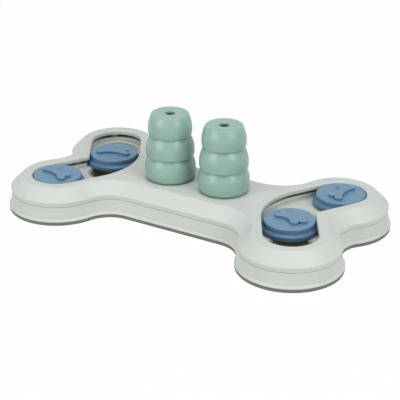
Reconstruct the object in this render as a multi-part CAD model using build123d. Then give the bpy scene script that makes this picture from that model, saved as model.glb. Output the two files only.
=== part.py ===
from build123d import *
from math import asin, atan2, cos, degrees, hypot, radians, sin, sqrt
import os

# A bone-shaped puzzle board for dogs. Two pale shells are screwed together over a rubber-faced plate.
# Each end has a V-shaped track with three treat cups and two captive discs, and two hollow cones
# stand over treat dishes in the middle. +X runs along the bone, +Z is up, the origin is at the
# bottom centre of the plate, and all sizes are in millimetres.

# ---- bone outline, measured at the foot ----
lobe_x = 112.1              # centre of each round end lobe
lobe_y = 44.0
lobe_r = 42.9
waist_half = 39.4           # half the width of the straight middle
waist_fillet_r = 25.8       # hollow corner between the waist and a lobe
notch_r = 22.9              # hollow between the two lobes of an end

# ---- heights of the case, and how far its wall stands out from or in from the outline ----
plate_t = 3.0
plate_out = 0.6
plate_round = 0.5
foot_out = 0.8              # the base wall ends in a small flare
foot_edge_h = 0.9
foot_round = 0.4
flare_z = 5.4               # where the flare begins
flare_in = 0.8
parting_z = 15.5            # joint line between base and cover
parting_in = 2.3
parting_step = 0.25         # the base stands out this much past the cover at the joint line
kink_z = 19.9               # below this line the cover leans in, above it the shoulder slopes
kink_in = 1.4
kink_round = 1.4
cover_top_z = 29.7
shoulder_in = 11.4          # where the flat top begins
shoulder_round = 2.6
cover_wall = 3.0            # measured level
cover_skin = 2.8            # thickness of the flat top
base_wall = 2.6
deck_top_z = 19.2
deck_t = 2.4
seam_chamfer = 0.3          # on both sides of the joint line
shell_gap = 0.2             # between the deck's edge and the cover's wall

# ---- V-shaped track of the right end, mirrored to the left ----
track_past_x = 0.6          # a track's end lies this far past the centre of its lobe
track_past_y = 0.4
track_vertex_in = 26.7      # the straight legs would cross this far in from the track's ends
bend_r = 36.0               # the discs' way round the bend
rim_w = 20.9                # from a lobe's foot line to the edge of the opening in the cover
opening_corner_r = 2.6      # on the corner between the legs
lip_t = 4.2                 # the cover is thicker round the opening
lip_w = 5.0
lip_round = 1.6
lip_under_round = 0.9
kerb_t = 1.6                # low kerb on the deck that keeps the discs in line
kerb_h = 2.8
kerb_corner_r = 0.6

# ---- treat cups ----
cup_cover = 4.6             # a disc's cap covers the cup by this much all round
cup_wall = 1.2
cup_flange_w = 2.2
cup_flange_t = 1.4
cup_edge_round = 0.55
cup_floor_round = 3.0
cup_middle_past = 4.2       # the third cup, at the bend, lies this far past the legs' crossing
cup_fit = 0.15

# ---- discs ----
disc_top_z = 28.9
disc_gap = 1.2              # between a disc's cap and the edge of the opening
disc_edge_round = 1.0
disc_skin = 2.2
disc_skirt_t = 1.9
glide_reach = 1.4           # the glide runs this far under the lip
glide_shoulder_z = 24.7     # where the glide's sloping top meets the cap
glide_rim_z = 22.9
glide_rim_round = 0.5
glide_foot_chamfer = 0.5
glide_ring_t = 4.4          # width of the glide's foot
glide_float = 0.2           # the glide runs this far above the deck
glide_ring_gap = 0.2        # between the cap's skirt and the glide's ring
glide_side_gap = 1.2        # between the glide and the kerb
web_rise = 1.2              # the web's underside over the glide's foot
web_t = 1.6
cap_float = 0.05            # under the cap's skirt
hub_r = 6.0
hub_bore_r = 4.2
hub_run = 0.08              # running clearance of the hub in the web
hub_barb = 0.8              # how far the snap rim stands out
hub_deck_gap = 0.5          # under the hub
hub_barb_gap = 0.1
hub_slit_w = 1.4
hub_slit_h = 5.3
# where each disc stands: how far along its leg, from the lobe towards the bend, how far aside,
# towards the tongue between the legs, and where its bone points
discs = {
    "front_right": dict(side_x=1, side_y=-1, along=27.3, aside=0.7, bone_deg=-20),
    "rear_right": dict(side_x=1, side_y=1, along=-0.7, aside=0.0, bone_deg=94),
    "front_left": dict(side_x=-1, side_y=-1, along=-0.7, aside=0.0, bone_deg=-29),
    "rear_left": dict(side_x=-1, side_y=1, along=28.0, aside=0.7, bone_deg=23),
}

# ---- raised bone on each disc ----
bone_end_gap = 6.0          # from the bone's ends to the cap's edge
bone_end_w = 14.2
bone_knob_r = 4.0
bone_shaft_w = 7.2
bone_height = 2.2
bone_corner_r = 2.0         # hollow corners at the shaft and between the knobs
bone_notch_r = 1.0
bone_edge_round = 0.4
bone_root = 0.6             # how deep the bone is rooted in the cap

# ---- cones: each tier's foot, its widest radius and height, and the crease above it ----
cone_x = 26.3
low_foot_r = 20.6
low_wide_r = 21.8
low_wide_h = 10.5
low_crease_r = 18.7
low_crease_h = 20.4
mid_foot_r = 20.2
mid_wide_r = 20.7
mid_wide_h = 27.0
mid_crease_r = 17.0
mid_crease_h = 39.1
top_foot_r = 18.1
top_wide_r = 18.6
top_wide_h = 47.5
cone_top_r = 15.5
cone_height = 57.9
low_foot_round = 1.6
tier_round = 1.3            # along the lower edge of the upper two tiers
cone_top_round = 1.3
cone_bore_foot_r = 18.0
cone_bore_top_r = 12.4
cone_roof_t = 2.0
cone_hole_r = 4.4

# ---- treat dish and collar under each cone ----
dish_r = 14.5
dish_wall = 1.8
dish_depth = 7.9
dish_floor_round = 2.5
collar_t = 1.6
collar_h = 2.5
collar_round = 0.6

# ---- case screws ----
screw_r = 1.45
screw_pilot_gap = 0.05
screw_clear_r = 1.75
screw_head_r = 2.8
screw_head_t = 2.1
screw_head_round = 0.6
screw_tip_z = 24.4
screw_tip_taper = 1.2
screw_tip_gap = 1.0         # the pilot hole is this much deeper
screw_cross_w = 0.9
screw_cross_l = 3.4
screw_cross_t = 1.2
post_r = 3.3                # posts that hang from the cover
column_r = 4.2              # columns in the base under the posts
head_pocket_r = 3.4
head_pocket_z = 3.4         # seat of the screw head
socket_r = 5.6              # round socket on the plate round each pocket
socket_top_z = 6.4
lobe_post_gap = 5.6         # from the kerb's inner edge to the post in a lobe
lobe_post_turn = 8.0        # degrees away from the leg's direction
notch_post_in = 12.9        # from the notch's foot line to the post behind it
waist_post_gap = 10.8       # from the track's kerb to the posts at the waist
waist_post_y = 23.5

# ---- ribs under the deck ----
rib_gap = 3.8               # the ribs end this far from the track's kerb
rib_t = 1.6
rib_low_z = 5.0
rib_pitch = 27.0
rib_root = 0.5              # how deep the ribs are rooted in the deck

notch_x = lobe_x + sqrt((lobe_r + notch_r) ** 2 - lobe_y**2)
track_x = lobe_x + track_past_x
track_y = lobe_y + track_past_y
track_vertex_x = track_x - track_vertex_in
leg_deg = degrees(atan2(track_y, track_vertex_in))
leg_sin = sin(radians(leg_deg))
leg_cos = cos(radians(leg_deg))
bend_x = track_vertex_x + bend_r / leg_sin
opening_r = lobe_r - rim_w
disc_r = opening_r - disc_gap
glide_r = opening_r + glide_reach
kerb_r = glide_r + glide_side_gap
kerb_near_x = bend_x - bend_r - kerb_r - kerb_t
cup_inner_r = disc_r - cup_cover
cup_flange_r = cup_inner_r + cup_flange_w
bone_length = 2 * (disc_r - bone_end_gap)
rib_reach_x = kerb_near_x - rib_gap
cover_inner = kink_in + cover_wall
deck_edge_in = cover_inner + shell_gap
under_z = cover_top_z - cover_skin
dish_floor_z = cover_top_z - dish_depth
glide_foot_z = deck_top_z + glide_float
web_low_z = glide_foot_z + web_rise
web_high_z = web_low_z + web_t
mirror_x = Plane.YZ
mirror_y = Plane.XZ
same = 0.01                 # edges nearer than this to a height or a line are taken to lie on it


def face_within(lines):
    """The face inside a closed run of lines and arcs."""
    return make_face(Wire([e for line in lines for e in line.edges()]))


def level(shape, z):
    """A flat shape lifted to a height."""
    return Pos(0, 0, z) * shape


def bone_face(out):
    """The bone's outline as a face, moved out from the foot line by this much, or in if negative."""
    fillet_y = waist_half + waist_fillet_r
    fillet_x = lobe_x - sqrt((lobe_r + waist_fillet_r) ** 2 - (fillet_y - lobe_y) ** 2)
    to_lobe = degrees(atan2(lobe_y - fillet_y, lobe_x - fillet_x))
    to_notch = degrees(atan2(-lobe_y, notch_x - lobe_x))
    waist_y = waist_half + out
    from_lobe = to_lobe + 180
    waist = Line((-fillet_x, waist_y), (fillet_x, waist_y))
    fillet_arc = CenterArc((fillet_x, fillet_y), waist_fillet_r - out, -90, to_lobe + 90)
    lobe_arc = CenterArc((lobe_x, lobe_y), lobe_r + out, from_lobe, to_notch - from_lobe)
    notch_half = degrees(asin(lobe_y / (lobe_r + notch_r)))
    notch_arc = CenterArc((notch_x, 0), notch_r - out, 180 - notch_half, 2 * notch_half)
    quarter = [fillet_arc, lobe_arc]
    right = quarter + [notch_arc] + [mirror(e, mirror_y) for e in quarter]
    left = [mirror(e, mirror_x) for e in right]
    return face_within([waist, mirror(waist, mirror_y)] + right + left)


def track_face(reach, corner_r):
    """The right track as a face: all that lies within reach of the way of a disc's centre."""
    corner_x = track_vertex_x + (reach + corner_r) / leg_sin
    out_deg = leg_deg + 90
    in_deg = leg_deg - 90
    lobe_arc = CenterArc((track_x, track_y), reach, in_deg, 180)
    bend_arc = CenterArc((bend_x, 0), bend_r + reach, out_deg, 360 - 2 * out_deg)
    corner_arc = CenterArc((corner_x, 0), corner_r, out_deg, 360 - 2 * out_deg)
    outer_leg = Line(lobe_arc @ 1, bend_arc @ 0)
    inner_leg = Line(lobe_arc @ 0, corner_arc @ 0)
    half = [lobe_arc, outer_leg, inner_leg]
    return face_within(half + [mirror(e, mirror_y) for e in half] + [bend_arc, corner_arc])


def both_ends(shape):
    """A shape of the right end with its mirror image at the left end."""
    return [shape, mirror(shape, mirror_x)]


def prism(face, low_z, high_z):
    """A face extruded from one height to another."""
    return extrude(level(face, low_z), high_z - low_z)


def flare(low_out, low_z, high_out, high_z):
    """A bone-shaped solid whose wall leans from one offset to another."""
    return loft([level(bone_face(low_out), low_z), level(bone_face(high_out), high_z)], ruled=True)


def tube(x, y, r, low_z, high_z):
    """An upright cylinder."""
    return Pos(x, y, low_z) * extrude(Circle(r), high_z - low_z)


def flat_edges(shape, z):
    """The edges that lie at one height."""
    return shape.edges().filter_by_position(Axis.Z, z - same, z + same)


def spin(points, rounds):
    """A solid turned about Z from points of radius and height, with some corners rounded."""
    face = make_face(Polyline(*points, close=True))
    for index, radius in rounds.items():
        r, z = points[index]
        corner = [v for v in face.vertices() if hypot(v.X - r, v.Y - z) < same]
        face = fillet(corner, radius)
    return revolve(Plane.XZ * face, Axis.Z)


def track_ends():
    """The four ends of the tracks, with the sides that they are on."""
    return [(sx, sy) for sx in (-1, 1) for sy in (-1, 1)]


def on_leg(side_x, side_y, along, aside=0.0):
    """A point this far along a track's leg from its end in the lobe, and this far to the tongue's side."""
    x = track_x - along * leg_cos + aside * leg_sin
    y = track_y - along * leg_sin - aside * leg_cos
    return side_x * x, side_y * y


def screw_places():
    """Ten places: beyond each track's end, in each notch and four at the waist."""
    turn = radians(leg_deg - lobe_post_turn)
    reach = kerb_r + lobe_post_gap
    lobe_x_far = track_x + reach * cos(turn)
    lobe_y_far = track_y + reach * sin(turn)
    places = []
    for sx, sy in track_ends():
        places.append((sx * lobe_x_far, sy * lobe_y_far))
        places.append((sx * (kerb_near_x - waist_post_gap), sy * waist_post_y))
    for sx in (-1, 1):
        places.append((sx * (notch_x - notch_r - notch_post_in), 0))
    return places


def cup_places():
    """Name and centre of each treat cup."""
    ends = {-1: "left", 1: "right"}
    rows = {-1: "front", 0: "middle", 1: "rear"}
    places = {}
    for sx, end in ends.items():
        for sy, row in rows.items():
            x = track_x if sy else track_vertex_x + cup_middle_past
            places[f"{row}_{end}"] = (sx * x, sy * track_y)
    return places


def make_cover():
    """Top shell: sloping shoulder, two V openings with a thick lip, treat dishes and screw posts."""
    lip_z = cover_top_z - lip_t
    slope = (shoulder_in - kink_in) / (cover_top_z - kink_z)
    case = flare(-kink_in, kink_z, -shoulder_in, cover_top_z)
    case = fillet(flat_edges(case, cover_top_z), shoulder_round)
    skirt = flare(-parting_in, parting_z, -kink_in, kink_z)
    case += chamfer(flat_edges(skirt, parting_z), seam_chamfer)
    case = fillet(flat_edges(case, kink_z), kink_round)
    cavity = prism(bone_face(-cover_inner), parting_z, kink_z)
    cavity += flare(-cover_inner, kink_z, -cover_inner - slope * (under_z - kink_z), under_z)
    cover = case - cavity
    lip_place = prism(track_face(opening_r + lip_w, kerb_corner_r), lip_z, cover_top_z)
    cover -= both_ends(lip_place)
    cover += both_ends(make_lip(lip_place, lip_z))
    for sx in (-1, 1):
        dish = tube(sx * cone_x, 0, dish_r + dish_wall, dish_floor_z - dish_wall, cover_top_z)
        collar = tube(sx * cone_x, 0, dish_r + collar_t, cover_top_z, cover_top_z + collar_h)
        collar = fillet(flat_edges(collar, cover_top_z + collar_h), collar_round)
        hollow = tube(sx * cone_x, 0, dish_r, dish_floor_z, cover_top_z + collar_h)
        hollow = fillet(flat_edges(hollow, dish_floor_z), dish_floor_round)
        cover = cover + dish + collar - hollow
    for x, y in screw_places():
        cover += tube(x, y, post_r, deck_top_z, under_z) & case
        cover -= tube(x, y, screw_r + screw_pilot_gap, deck_top_z, screw_tip_z + screw_tip_gap)
    return cover


def make_lip(lip, lip_z):
    """The thick lip round the right opening, rounded above and below."""
    opening = prism(track_face(opening_r, opening_corner_r), lip_z, cover_top_z)
    lip -= opening
    for z, radius in ((cover_top_z, lip_round), (lip_z, lip_under_round)):
        rim = [e for e in flat_edges(lip, z) if opening.distance_to(Vertex(e @ 0.5)) < same]
        lip = fillet(rim, radius)
    return lip


def make_base():
    """Lower shell: wall with a flared foot, deck with kerbs and a seat for each cup, columns and ribs."""
    joint_in = parting_in - parting_step
    foot_z = plate_t + foot_edge_h
    deck_low = deck_top_z - deck_t
    inner_z = parting_z - base_wall
    base = flare(-flare_in, flare_z, -joint_in, parting_z)
    base = chamfer(flat_edges(base, parting_z), seam_chamfer)
    foot = prism(bone_face(foot_out), plate_t, foot_z) + flare(foot_out, foot_z, -flare_in, flare_z)
    base += fillet(flat_edges(foot, plate_t), foot_round)
    base += prism(bone_face(-deck_edge_in), parting_z, deck_top_z)
    base -= flare(-flare_in - base_wall, plate_t, -joint_in - base_wall, inner_z)
    base -= flare(-joint_in - base_wall, inner_z, -deck_edge_in - base_wall, deck_low)
    base += rib_grid(deck_low)
    kerb = prism(track_face(kerb_r + kerb_t, kerb_corner_r), deck_top_z, deck_top_z + kerb_h)
    kerb -= prism(track_face(kerb_r, kerb_corner_r), deck_top_z, deck_top_z + kerb_h)
    base += both_ends(kerb)
    for x, y in screw_places():
        base -= tube(x, y, socket_r + shell_gap, plate_t, socket_top_z)
        base += tube(x, y, column_r, socket_top_z, deck_top_z)
        base -= tube(x, y, screw_clear_r, socket_top_z, deck_top_z)
    for x, y in cup_places().values():
        base -= tube(x, y, cup_inner_r + cup_wall + cup_fit, plate_t, deck_top_z)
        base -= tube(x, y, cup_flange_r + cup_fit, deck_top_z - cup_flange_t, deck_top_z)
    return base


def rib_grid(deck_low):
    """Crossed ribs under the deck of the waist, evenly spaced from the middle, inside the wall."""
    height = deck_low + rib_root - rib_low_z
    middle_z = rib_low_z + height / 2
    across = int(rib_reach_x / rib_pitch)
    along = int(waist_half / rib_pitch)
    cross_rib = Box(rib_t, 2 * lobe_y, height)
    long_rib = Box(2 * rib_reach_x, rib_t, height)
    ribs = [Pos(i * rib_pitch, 0, middle_z) * cross_rib for i in range(-across, across + 1)]
    ribs += [Pos(0, i * rib_pitch, middle_z) * long_rib for i in range(-along, along + 1)]
    inside = prism(bone_face(-deck_edge_in - base_wall / 2), rib_low_z, rib_low_z + height)
    return Part() + ribs & inside


def make_plate():
    """Rubber-faced bottom plate with a pocket and a socket for each screw."""
    plate = prism(bone_face(plate_out), 0, plate_t)
    plate = fillet(flat_edges(plate, 0), plate_round)
    for x, y in screw_places():
        plate += tube(x, y, socket_r, plate_t, socket_top_z)
        plate -= tube(x, y, head_pocket_r, 0, head_pocket_z)
        plate -= tube(x, y, screw_clear_r, head_pocket_z, socket_top_z)
    return plate


def make_screws():
    """Pan-head screws in their pockets, each with a cross recess."""
    screws = []
    low_z = head_pocket_z - screw_head_t
    slot = Box(screw_cross_l, screw_cross_w, 2 * screw_cross_t)
    cross = slot + Rot(0, 0, 90) * slot
    for x, y in screw_places():
        head = fillet(flat_edges(tube(0, 0, screw_head_r, low_z, head_pocket_z), low_z), screw_head_round)
        shank = tube(0, 0, screw_r, head_pocket_z, screw_tip_z)
        shank = chamfer(flat_edges(shank, screw_tip_z), screw_tip_taper, screw_tip_taper / 2)
        screw = head + shank - level(cross, low_z)
        screws.append(Pos(x, y, 0) * screw)
    return Compound(children=[s.solid() for s in screws])


def make_cup(x, y):
    """Drop-in treat cup: its flange lies in the deck and its floor on the plate."""
    outer_r = cup_inner_r + cup_wall
    floor_z = plate_t + cup_wall
    flange_z = deck_top_z - cup_flange_t
    points = [
        (0, plate_t), (outer_r, plate_t), (outer_r, flange_z), (cup_flange_r, flange_z),
        (cup_flange_r, deck_top_z), (cup_inner_r, deck_top_z), (cup_inner_r, floor_z), (0, floor_z),
    ]
    rounds = {1: cup_floor_round - cup_wall, 5: cup_edge_round, 6: cup_floor_round}
    return Pos(x, y, 0) * spin(points, rounds)


def make_glide(x, y):
    """Lower half of a disc: a sloping ring that runs under the lip, and a web that the hub turns in."""
    ring_r = disc_r + glide_ring_gap
    hole_r = hub_r + hub_run
    foot_in_r = glide_r - glide_ring_t
    cut = glide_foot_chamfer
    slope = (glide_shoulder_z - glide_rim_z) / (glide_r - disc_r)
    ring_top_z = glide_shoulder_z - slope * glide_ring_gap
    points = [
        (hole_r, web_low_z), (foot_in_r, web_low_z), (foot_in_r, glide_foot_z), (glide_r - cut, glide_foot_z),
        (glide_r, glide_foot_z + cut), (glide_r, glide_rim_z), (ring_r, ring_top_z),
        (ring_r, web_high_z), (hole_r, web_high_z),
    ]
    return Pos(x, y, 0) * spin(points, {5: glide_rim_round})


def make_cap(x, y, bone_deg):
    """Upper half of a disc: a shallow cap with a raised bone and a split hub that snaps into the web."""
    skirt_z = web_high_z + cap_float
    ceiling_z = disc_top_z - disc_skin
    inner_r = disc_r - disc_skirt_t
    hub_low_z = deck_top_z + hub_deck_gap
    barb_z = web_low_z - hub_barb_gap
    barb_r = hub_r + hub_barb
    points = [
        (hub_bore_r, hub_low_z), (hub_r, hub_low_z), (barb_r, barb_z), (hub_r, barb_z), (hub_r, ceiling_z),
        (inner_r, ceiling_z), (inner_r, skirt_z), (disc_r, skirt_z), (disc_r, disc_top_z),
        (0, disc_top_z), (0, ceiling_z), (hub_bore_r, ceiling_z),
    ]
    cap = spin(points, {8: disc_edge_round})
    slit = level(Box(2 * barb_r + hub_slit_w, hub_slit_w, hub_slit_h), hub_low_z + hub_slit_h / 2)
    cap -= [slit, Rot(0, 0, 90) * slit]
    cap += level(raised_bone(), disc_top_z - bone_root)
    return Pos(x, y, 0) * Rot(0, 0, bone_deg) * cap


def raised_bone():
    """A plain bone: a shaft with two knobs at each end, soft along its upper edge."""
    knob_x = bone_length / 2 - bone_knob_r
    knob_y = bone_end_w / 2 - bone_knob_r
    shape = Rectangle(2 * knob_x, bone_shaft_w)
    for sx, sy in track_ends():
        shape += Pos(sx * knob_x, sy * knob_y) * Circle(bone_knob_r)
    shaft_corners = [v for v in shape.vertices() if abs(v.X) < knob_x]
    shape = fillet(shaft_corners, bone_corner_r)
    end_corners = [v for v in shape.vertices() if abs(v.X) > knob_x and abs(v.Y) < same]
    shape = fillet(end_corners, bone_notch_r)
    bone = extrude(shape, bone_root + bone_height)
    return fillet(flat_edges(bone, bone_root + bone_height), bone_edge_round)


def make_tier(foot_r, foot_h, wide_r, wide_h, top_r, top_h, foot_round):
    """One bulging tier of a cone with a rounded lower edge, as a solid of revolution about Z."""
    bulge = Spline((foot_r, foot_h), (wide_r, wide_h), (top_r, top_h))
    rest = Polyline((top_r, top_h), (0, top_h), (0, foot_h), (foot_r, foot_h))
    tier = revolve(Plane.XZ * make_face([bulge, rest]), Axis.Z)
    return fillet(flat_edges(tier, foot_h), foot_round)


def make_cone(side_x):
    """Hollow three-tier cone, open at the foot, with a hole in its flat top."""
    cone = make_tier(low_foot_r, 0, low_wide_r, low_wide_h, low_crease_r, low_crease_h, low_foot_round)
    cone += make_tier(
        mid_foot_r, low_crease_h, mid_wide_r, mid_wide_h, mid_crease_r, mid_crease_h, tier_round)
    cone += make_tier(
        top_foot_r, mid_crease_h, top_wide_r, top_wide_h, cone_top_r, cone_height, tier_round)
    cone = fillet(flat_edges(cone, cone_height), cone_top_round)
    bore_h = cone_height - cone_roof_t
    cone -= Pos(0, 0, bore_h / 2) * Cone(cone_bore_foot_r, cone_bore_top_r, bore_h)
    cone -= tube(0, 0, cone_hole_r, bore_h, cone_height)
    return Pos(side_x * cone_x, 0, cover_top_z) * cone


def build():
    """Every node by name."""
    nodes = {
        "cover_shell": make_cover(),
        "base_shell": make_base(),
        "grip_plate": make_plate(),
        "case_screws": make_screws(),
        "cone_left": make_cone(-1),
        "cone_right": make_cone(1),
    }
    for name, (x, y) in cup_places().items():
        nodes[f"treat_cup_{name}"] = make_cup(x, y)
    for name, d in discs.items():
        x, y = on_leg(d["side_x"], d["side_y"], d["along"], d["aside"])
        nodes[f"disc_glide_{name}"] = make_glide(x, y)
        nodes[f"disc_cap_{name}"] = make_cap(x, y, d["bone_deg"])
    return nodes


if __name__ == "__main__":
    os.makedirs("parts", exist_ok=True)
    for name, shape in build().items():
        export_step(shape, f"parts/{name}.step")
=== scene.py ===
import bpy
from math import sin, cos, radians
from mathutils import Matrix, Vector


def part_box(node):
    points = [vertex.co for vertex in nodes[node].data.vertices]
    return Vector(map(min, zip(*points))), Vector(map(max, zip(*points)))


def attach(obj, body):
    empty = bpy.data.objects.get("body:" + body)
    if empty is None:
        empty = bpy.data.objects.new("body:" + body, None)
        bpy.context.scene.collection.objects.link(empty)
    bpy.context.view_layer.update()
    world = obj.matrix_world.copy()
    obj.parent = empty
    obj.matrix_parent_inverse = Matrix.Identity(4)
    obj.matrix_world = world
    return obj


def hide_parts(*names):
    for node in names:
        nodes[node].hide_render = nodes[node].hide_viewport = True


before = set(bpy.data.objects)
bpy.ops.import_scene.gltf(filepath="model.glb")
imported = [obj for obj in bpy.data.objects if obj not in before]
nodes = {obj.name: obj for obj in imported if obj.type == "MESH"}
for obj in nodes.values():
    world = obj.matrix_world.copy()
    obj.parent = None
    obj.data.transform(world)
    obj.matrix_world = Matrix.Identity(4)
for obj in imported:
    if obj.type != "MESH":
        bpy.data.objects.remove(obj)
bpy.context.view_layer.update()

bpy.ops.object.select_all(action="DESELECT")
print("frame loaded:", len(nodes), "nodes")


class Wire:  # an output socket that can be added, subtracted and multiplied
    def __init__(self, graph, socket):
        self.graph = graph
        self.socket = socket

    def __add__(self, other):
        return self.graph.math("ADD", self, other)

    def __sub__(self, other):
        return self.graph.math("SUBTRACT", self, other)

    def __rsub__(self, other):
        return self.graph.math("SUBTRACT", other, self)

    def __mul__(self, other):
        return self.graph.math("MULTIPLY", self, other)

    __radd__ = __add__
    __rmul__ = __mul__


class Graph:  # one node tree, emptied and filled again
    def __init__(self, owner):
        owner.use_nodes = True
        self.tree = owner.node_tree
        self.tree.nodes.clear()

    def add(self, kind, settings=None, inputs=None, out=0):
        node = self.tree.nodes.new(kind)
        for name, value in (settings or {}).items():
            setattr(node, name, value)
        for name, value in (inputs or {}).items():
            if isinstance(value, Wire):
                self.tree.links.new(value.socket, node.inputs[name])
            else:
                node.inputs[name].default_value = value
        return Wire(self, node.outputs[out]) if len(node.outputs) else node

    def math(self, operation, a, b=0.0, clamp=False):
        return self.add("ShaderNodeMath", {"operation": operation, "use_clamp": clamp}, {0: a, 1: b})

    def blend(self, amount, a, b):  # a Mix node has its two colours on sockets 6 and 7, and its result on 2
        return self.add("ShaderNodeMix", {"data_type": "RGBA"}, {0: amount, 6: a, 7: b}, out=2)


def toLinear(red, green, blue):  # from a screen's 0 to 255 to the light values that a shader takes
    shares = [value / 255 for value in (red, green, blue)]
    light = [((share + 0.055) / 1.055) ** 2.4 if share > 0.04045 else share / 12.92 for share in shares]
    return (*light, 1.0)


def metres(size):  # the pieces' own sizes are in mm
    return size / 1000


def millimetres(size):
    return size * 1000


white = (1, 1, 1, 1)
view = {"azimuth": 31.2, "elevation": 24.87, "target": (0.0096, -0.0107, 0.0200), "distance": 1.0731,
        "lens": 115.06, "nearest": 0.05, "furthest": 50.0}
studio = {"floorSize": 12.0, "floorDrop": 0.0002, "floorTone": 0.80,
          "floorGlow": 0.97,  # share of plain white in the floor as it is seen, the rest takes the shadow
          "skyPower": 0.25,
          "lamps": {  # azimuth, elevation, distance, width, height, power and tint
              "keyLeft": (-25, 23, 1.6, 0.95, 0.9, 9.9, (1.0, 1.0, 1.0)),
              "keyRight": (74, 34, 1.6, 0.7, 1.1, 11.3, (1.0, 1.0, 1.0)),
              "overhead": (25, 88, 1.6, 0.7, 0.7, 8.0, (0.96, 0.985, 1.0))}}


# aimed back at the target; azimuth 0 is in front of the toy
def placeAround(item, target, azimuth, elevation, distance):
    turn, rise = radians(azimuth), radians(elevation)
    away = Vector((sin(turn) * cos(rise), -cos(turn) * cos(rise), sin(rise)))
    bpy.context.scene.collection.objects.link(item)
    item.location = Vector(target) + away * distance
    item.rotation_mode = "QUATERNION"
    item.rotation_quaternion = (-away).to_track_quat("-Z", "Y")


def addCamera():
    camera = bpy.data.objects.new("studioCamera", bpy.data.cameras.new("studioCamera"))
    camera.data.lens = view["lens"]
    camera.data.clip_start = view["nearest"]
    camera.data.clip_end = view["furthest"]
    placeAround(camera, view["target"], view["azimuth"], view["elevation"], view["distance"])
    bpy.context.scene.camera = camera


def seenDirectly(graph):  # 1 for camera, glossy and transmission rays
    kinds = ("Is Camera Ray", "Is Glossy Ray", "Is Transmission Ray")
    camera, glossy, transmission = [graph.add("ShaderNodeLightPath", out=kind) for kind in kinds]
    return graph.math("ADD", camera + glossy, transmission, clamp=True)


def addSky():
    world = bpy.data.worlds.new("softSky")
    bpy.context.scene.world = world
    graph = Graph(world)
    light = graph.add("ShaderNodeBackground", inputs={"Strength": studio["skyPower"], "Color": white})
    paper = graph.add("ShaderNodeBackground", inputs={"Strength": 1.0, "Color": white})
    sky = graph.add("ShaderNodeMixShader", inputs={0: seenDirectly(graph), 1: light, 2: paper})
    graph.add("ShaderNodeOutputWorld", inputs={"Surface": sky})


def addFloor():
    bpy.ops.mesh.primitive_plane_add(size=studio["floorSize"], location=(0, 0, -studio["floorDrop"]))
    floor = bpy.context.object
    floor.name = "studioFloor"
    paper = bpy.data.materials.new("floorPaper")
    graph = Graph(paper)
    lit = graph.add("ShaderNodeBsdfDiffuse", inputs={"Color": (studio["floorTone"],) * 3 + (1,)})
    plain = graph.add("ShaderNodeEmission", inputs={"Color": white, "Strength": 1.0})
    glow = seenDirectly(graph) * studio["floorGlow"]
    mix = graph.add("ShaderNodeMixShader", inputs={0: glow, 1: lit, 2: plain})
    graph.add("ShaderNodeOutputMaterial", inputs={"Surface": mix})
    floor.data.materials.append(paper)


def addLamps():
    for name, (azimuth, elevation, distance, width, height, power, tint) in studio["lamps"].items():
        lamp = bpy.data.objects.new(name, bpy.data.lights.new(name, "AREA"))
        lamp.data.shape = "RECTANGLE"
        lamp.data.size = width
        lamp.data.size_y = height
        lamp.data.energy = power
        lamp.data.color = tint
        placeAround(lamp, (0, 0, 0), azimuth, elevation, distance)


addCamera()
addSky()
addFloor()
addLamps()
bpy.context.scene.view_settings.view_transform = "Standard"
print("camera and studio ready")

noiseMiddle = 0.5
seam = {"height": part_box("cover_shell")[0][2],  # the cover's lower edge
        "reach": 0.0004}  # half the width of the line
finish = {"cloudScale": 40.0, "cloudDetail": 3.0, "cloudPower": 1.2,  # slow drift of the colour
          "grainScale": 2600.0, "grainDetail": 2.0, "bump": 0.12, "bumpDepth": 0.0001,  # fine grain
          "speckScale": 900.0, "speckSize": 0.18, "speckPower": 0.25,  # specks of dust
          "roughSpan": 0.10, "ior": 1.46,
          "edgeWidth": 0.0005, "edgeSamples": 4, "edgeGain": 3.0, "edgeHighlightPower": 0.5, "edgePolish": 0.08,
          "hollowReach": 0.003, "hollowSamples": 6, "hollowShadePower": 0.35, "hollowDust": 0.10,
          "wallPower": 0.0, "seamShadePower": 0.0}
coverLook = dict(finish, light=(207, 211, 206), shade=(203, 207, 202), dust=(196, 198, 192), rough=0.46,
                 edge=(222, 226, 221), deep=(120, 123, 116), hollowReach=0.0015, hollowShadePower=0.25,
                 seamShadePower=0.2, seamShade=(84, 87, 80))
baseLook = dict(coverLook, light=(206, 210, 204), shade=(202, 206, 200), dust=(194, 196, 190), rough=0.50)
blueLook = dict(finish, light=(109, 144, 171), shade=(103, 139, 167), dust=(122, 150, 174), rough=0.42,
                edge=(136, 172, 198), deep=(34, 72, 104), hollowShadePower=0.36, edgeHighlightPower=0.7,
                wallPower=0.7, wall=(70, 112, 146))
# the glides take a darker copy of the blue finish: painted shade
glideShadeLook = dict(blueLook, light=(80, 118, 148), shade=(75, 113, 144),
                 edge=(132, 170, 197), deep=(22, 56, 86))
sageLook = dict(finish, light=(147, 181, 167), shade=(141, 176, 162), dust=(158, 188, 175), rough=0.30,
                edge=(168, 198, 184), deep=(44, 78, 62), hollowShadePower=0.8, ior=1.55)
gripLook = dict(finish, light=(120, 123, 114), shade=(110, 113, 104), dust=(130, 131, 124), rough=0.68,
                edge=(140, 143, 134), deep=(60, 60, 54))
# the cups take a lighter copy of the grip finish: painted light in the shaded pits
cupLightLook = dict(gripLook, light=(150, 150, 139), shade=(142, 142, 131), deep=(84, 82, 72))
screwLook = dict(finish, light=(176, 177, 180), shade=(160, 161, 164), dust=(190, 190, 190), rough=0.35,
                 edge=(205, 205, 207), deep=(90, 90, 92))
looks = {"cover_shell": coverLook, "base_shell": baseLook, "disc_cap": blueLook, "disc_glide": glideShadeLook,
         "cone": sageLook, "grip": gripLook, "cup": cupLightLook, "screws": screwLook}


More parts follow.
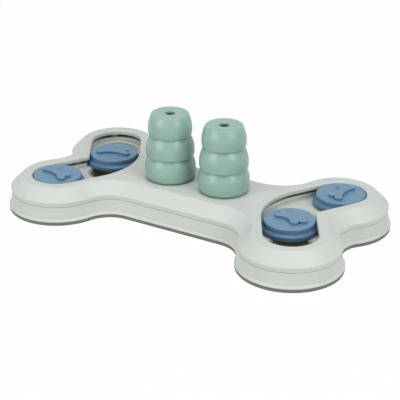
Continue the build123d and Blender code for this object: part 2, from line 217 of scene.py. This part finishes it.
def edgeHighlightMask(graph, look):  # 1 along rounded and sharp edges, 0 on the flats; it places painted highlights along the edges
    soft = graph.add("ShaderNodeBevel", {"samples": look["edgeSamples"]}, {"Radius": look["edgeWidth"]})
    normal = graph.add("ShaderNodeNewGeometry", out="Normal")
    same = graph.add("ShaderNodeVectorMath", {"operation": "DOT_PRODUCT"}, {0: soft, 1: normal}, out="Value")
    return graph.math("MULTIPLY", 1 - same, look["edgeGain"], clamp=True)


def hollowShadeMask(graph, look):  # 1 far into a crease or a gap, 0 in the open; it places painted shade in creases and gaps
    samples = {"samples": look["hollowSamples"]}
    return 1 - graph.add("ShaderNodeAmbientOcclusion", samples, {"Distance": look["hollowReach"]}, out="AO")


def wallMask(graph):  # 1 on upright walls, 0 on flat tops; the walls get painted shade, a darker blue than the tops
    normal = graph.add("ShaderNodeNewGeometry", out="Normal")
    return 1 - graph.math("ABSOLUTE", graph.add("ShaderNodeSeparateXYZ", inputs={"Vector": normal}, out="Z"))


def seamShadeMask(graph, place):  # 1 on the joint line between the cover and the base, 0 a little away from it
    height = graph.add("ShaderNodeSeparateXYZ", inputs={"Vector": place}, out="Z")
    away = graph.math("ABSOLUTE", height - seam["height"])
    return graph.math("SUBTRACT", 1.0, away * (1 / seam["reach"]), clamp=True)


def mouldedPlastic(name, look):
    material = bpy.data.materials.new(name)
    graph = Graph(material)
    place = graph.add("ShaderNodeTexCoord", out="Object")
    cloud = graph.add("ShaderNodeTexNoise", inputs={"Vector": place, "Scale": look["cloudScale"],
                                                    "Detail": look["cloudDetail"]})
    grain = graph.add("ShaderNodeTexNoise", inputs={"Vector": place, "Scale": look["grainScale"],
                                                    "Detail": look["grainDetail"]})
    speck = graph.add("ShaderNodeTexVoronoi", inputs={"Vector": place, "Scale": look["speckScale"]})
    edge = edgeHighlightMask(graph, look)
    hollow = hollowShadeMask(graph, look)
    drift = (cloud - noiseMiddle) * look["cloudPower"] + noiseMiddle
    tone = graph.blend(drift, toLinear(*look["shade"]), toLinear(*look["light"]))
    dust = graph.math("MULTIPLY", look["speckSize"] - speck, look["speckPower"], clamp=True)
    tone = graph.blend(dust, tone, toLinear(*look["dust"]))
    if look["wallPower"]:
        # painted shade: upright walls darker than the tops
        tone = graph.blend(wallMask(graph) * look["wallPower"], tone, toLinear(*look["wall"]))
    # painted highlight: a lighter colour along the edges
    tone = graph.blend(edge * look["edgeHighlightPower"], tone, toLinear(*look["edge"]))
    # painted shade: a darker colour in creases and gaps
    tone = graph.blend(hollow * look["hollowShadePower"], tone, toLinear(*look["deep"]))
    if look["seamShadePower"]:
        # painted shade: a dark line along the joint between the cover and the base
        tone = graph.blend(seamShadeMask(graph, place) * look["seamShadePower"], tone, toLinear(*look["seamShade"]))
    rough = look["rough"] + (cloud - noiseMiddle) * look["roughSpan"]
    rough = rough + (grain - noiseMiddle) * look["roughSpan"]
    rough = rough - edge * look["edgePolish"] + hollow * look["hollowDust"]
    bump = graph.add("ShaderNodeBump", inputs={"Height": grain, "Strength": look["bump"],
                                               "Distance": look["bumpDepth"]})
    shader = graph.add("ShaderNodeBsdfPrincipled", inputs={"Base Color": tone, "Roughness": rough,
                                                           "Normal": bump, "IOR": look["ior"]})
    graph.add("ShaderNodeOutputMaterial", inputs={"Surface": shader})
    return material


finishes = {kind: mouldedPlastic(kind + "Finish", look) for kind, look in looks.items()}
for kind, material in finishes.items():
    for name, node in nodes.items():
        if kind in name:
            node.data.materials.clear()
            node.data.materials.append(material)
print("materials ready")

mergeDistance = 0.000002  # metres


def pick(piece):
    bpy.ops.object.select_all(action="DESELECT")
    bpy.context.view_layer.objects.active = piece
    piece.select_set(True)


def editAll(piece, mode="VERT"):
    pick(piece)
    bpy.ops.object.mode_set(mode="EDIT")
    bpy.ops.mesh.select_mode(type=mode)
    bpy.ops.mesh.select_all(action="SELECT")


def ringPiece(name, centre, rings, sides, filled=False):  # a circle drawn on through (radius, height) steps
    bpy.ops.object.select_all(action="DESELECT")
    lastR, lastZ = rings[0]
    bpy.ops.mesh.primitive_circle_add(vertices=sides, radius=lastR, fill_type="NGON" if filled else "NOTHING",
                                      location=(*centre, lastZ))
    piece = bpy.context.object
    piece.name = name
    editAll(piece, "FACE" if filled else "VERT")
    for radius, height in rings[1:]:
        bpy.ops.mesh.extrude_region_move(TRANSFORM_OT_translate={"value": (0, 0, height - lastZ)})
        bpy.ops.transform.resize(value=(radius / lastR, radius / lastR, 1), center_override=(*centre, height))
        lastR, lastZ = radius, height
    bpy.ops.mesh.select_all(action="SELECT")
    bpy.ops.mesh.remove_doubles(threshold=mergeDistance)
    bpy.ops.mesh.normals_make_consistent(inside=False)
    bpy.ops.object.mode_set(mode="OBJECT")
    bpy.ops.object.transform_apply(location=True, rotation=True, scale=True)
    return piece


def applyModifier(piece, kind, **settings):
    pick(piece)
    modifier = piece.modifiers.new(kind.lower(), kind)
    for name, value in settings.items():
        setattr(modifier, name, value)
    bpy.ops.object.modifier_apply(modifier=modifier.name)


def combine(piece, tool, operation):  # the tool is used up
    applyModifier(piece, "BOOLEAN", operation=operation, object=tool, solver="EXACT")
    bpy.data.objects.remove(tool)


def middleOf(low, high):
    return ((low[0] + high[0]) / 2, (low[1] + high[1]) / 2)


def dress(piece, kind, node, body, smoothAngle):
    pick(piece)
    bpy.ops.object.shade_smooth_by_angle(angle=radians(smoothAngle))
    piece.data.materials.clear()
    piece.data.materials.append(finishes[kind])
    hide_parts(node)
    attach(piece, body)


cone = {"sides": 128, "steps": 9, "smoothAngle": 40,
        "tiers": (  # foot, widest place and top, each as radius and height, then the foot's round
            ((19.8, 0.0), (21.85, 10.5), (18.7, 20.4), 3.0),
            ((20.2, 20.4), (20.7, 27.0), (17.0, 39.1), 2.0),
            ((18.1, 39.1), (18.6, 47.5), (15.5, 57.9), 2.0)),
        "topRound": 1.3, "holeRadius": 4.2, "holeRound": 0.5, "roof": 2.0, "boreTop": 12.4, "boreFoot": 18.0}


def bulge(height, tier):  # a tier's radius at a height: a parabola through its foot, widest place and top
    (footR, footH), (wideR, wideH), (topR, topH) = tier[:3]
    slopeLow = (wideR - footR) / (wideH - footH)
    slopeHigh = (topR - wideR) / (topH - wideH)
    bend = (slopeHigh - slopeLow) / (topH - footH)
    return footR + slopeLow * (height - footH) + bend * (height - footH) * (height - wideH)


def quarter(centreR, centreH, size, startDeg, steps=5):  # a rounded corner, as radius and height
    turns = [radians(startDeg + 90 * i / steps) for i in range(steps + 1)]
    return [(centreR + size * cos(t), centreH + size * sin(t)) for t in turns]


def coneRings():  # from the foot up the outside, through the hole and down the bore
    rings = []
    for tier in cone["tiers"]:
        footH, topH, footRound = tier[0][1], tier[2][1], tier[3]
        low = footH + footRound
        high = topH if tier is not cone["tiers"][-1] else topH - cone["topRound"]
        rings += quarter(bulge(low, tier) - footRound, low, footRound, -90)
        heights = [low + (high - low) * i / cone["steps"] for i in range(1, cone["steps"] + 1)]
        rings += [(bulge(height, tier), height) for height in heights]
    topR = rings.pop()[0]
    rings += quarter(topR - cone["topRound"], topH - cone["topRound"], cone["topRound"], 0)
    hole, lip = cone["holeRadius"], cone["holeRound"]
    rings += quarter(hole + lip, topH - lip, lip, 90)
    ceiling = topH - cone["roof"]
    return rings + [(hole, ceiling), (cone["boreTop"], ceiling), (cone["boreFoot"], 0.0)]


def makeCones():
    for side in ("left", "right"):
        low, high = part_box("cone_" + side)
        rings = [(metres(radius), low[2] + metres(height)) for radius, height in coneRings()]
        piece = ringPiece("treatCone_" + side, middleOf(low, high), rings + rings[:1], cone["sides"])
        dress(piece, "cone", "cone_" + side, "cone_" + side, cone["smoothAngle"])
    print("cones modelled")


cap = {"sides": 128, "radius": 20.8, "edgeRound": 1.0, "skirt": 1.9, "skin": 2.2, "skirtRise": 2.55,
       "hubOut": 6.0, "hubIn": 4.2, "barb": 0.8, "barbRise": 0.8,
       "slit": 1.4, "slitLength": 18.0, "slitRise": 5.3, "smoothAngle": 32}
bone = {"longSide": 30.6, "shortSide": 24.6, "endWidth": 13.7, "knob": 3.45, "waist": 7.0, "height": 2.2,
        "root": 0.8, "cornerVoxel": 0.22, "softening": 0.5, "softenings": 3, "sides": 48}
boneTurns = {"front_right": -19, "rear_right": 269, "front_left": 159, "rear_left": 199}  # degrees from +X


def capRings(topH):  # from the hub's bore round the skirt to the top's rim, heights over the hub's foot
    outer, inner, edge = cap["radius"], cap["radius"] - cap["skirt"], cap["edgeRound"]
    ceiling, skirt = topH - cap["skin"], cap["skirtRise"]
    hub, bore, barb = cap["hubOut"], cap["hubIn"], cap["barbRise"]
    rings = [(bore, ceiling), (bore, 0.0), (hub, 0.0), (hub + cap["barb"], barb), (hub, barb), (hub, ceiling)]
    rings += [(inner, ceiling), (inner, skirt), (outer, skirt)]
    return rings + quarter(outer - edge, topH - edge, edge, 0)


def slab(centre, size):
    bpy.ops.object.select_all(action="DESELECT")
    bpy.ops.mesh.primitive_cube_add(size=1, location=centre, scale=size)
    return bpy.context.object


def post(centre, radius, depth):
    bpy.ops.object.select_all(action="DESELECT")
    bpy.ops.mesh.primitive_cylinder_add(vertices=bone["sides"], radius=radius, depth=depth, location=centre)
    return bpy.context.object


def boneRelief(topZ):  # a bone on the axis, a little bowed: its knobs stand further apart on the long side
    knob, depth = metres(bone["knob"]), metres(bone["height"] + bone["root"])
    halfWidth, waist = metres(bone["endWidth"]) / 2, metres(bone["waist"]) / 2
    longX, shortX = metres(bone["longSide"]) / 2 - knob, metres(bone["shortSide"]) / 2 - knob
    knobY = halfWidth - knob
    middleZ = topZ + metres(bone["height"] - bone["root"]) / 2
    relief = slab((0, 0, middleZ), (2 * shortX, 2 * halfWidth, depth))
    for side, reach in ((-1, shortX), (1, longX)):  # a wide post hollows out each side
        hollow = halfWidth - waist
        hollowR = (reach ** 2 + hollow ** 2) / (2 * hollow)
        combine(relief, post((0, side * (waist + hollowR), middleZ), hollowR, 2 * depth), "DIFFERENCE")
    combine(relief, slab((0, 0, middleZ), (longX + shortX, 2 * knobY, depth)), "UNION")
    for end in (-1, 1):
        combine(relief, post((end * longX, knobY, middleZ), knob, depth), "UNION")
        combine(relief, post((end * shortX, -knobY, middleZ), knob, depth), "UNION")
    applyModifier(relief, "REMESH", mode="VOXEL", voxel_size=metres(bone["cornerVoxel"]))
    applyModifier(relief, "SMOOTH", factor=bone["softening"], iterations=bone["softenings"])
    return relief


def makeCap(low, high):  # the first cap, on the axis; the others are copies
    topZ = high[2] - metres(bone["height"])
    outline = capRings(millimetres(topZ - low[2]))
    rings = [(metres(radius), low[2] + metres(height)) for radius, height in outline]
    piece = ringPiece("discCap", (0, 0), rings, cap["sides"], filled=True)
    slit, length, rise = metres(cap["slit"]), metres(cap["slitLength"]), metres(cap["slitRise"])
    slitPlace = (0, 0, low[2] + rise / 2)
    cross = [slab(slitPlace, (length, slit, rise)), slab(slitPlace, (slit, length, rise))]
    for tool in cross:
        combine(piece, tool, "DIFFERENCE")
    combine(piece, boneRelief(topZ), "UNION")
    return piece


def makeCaps():
    corners = list(boneTurns)
    model = makeCap(*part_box("disc_cap_" + corners[0]))
    for corner in corners:
        piece = model.copy()
        piece.data = model.data.copy()
        piece.name = "discCap_" + corner
        bpy.context.scene.collection.objects.link(piece)
        editAll(piece)
        turn = -radians(boneTurns[corner])  # with no window, the operator turns the other way
        bpy.ops.transform.rotate(value=turn, orient_axis="Z", center_override=(0, 0, 0))
        bpy.ops.transform.translate(value=(*middleOf(*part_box("disc_cap_" + corner)), 0))
        bpy.ops.object.mode_set(mode="OBJECT")
        dress(piece, "disc_cap", "disc_cap_" + corner, "cap_" + corner, cap["smoothAngle"])
    bpy.data.objects.remove(model)
    print("caps modelled")


makeCones()
makeCaps()
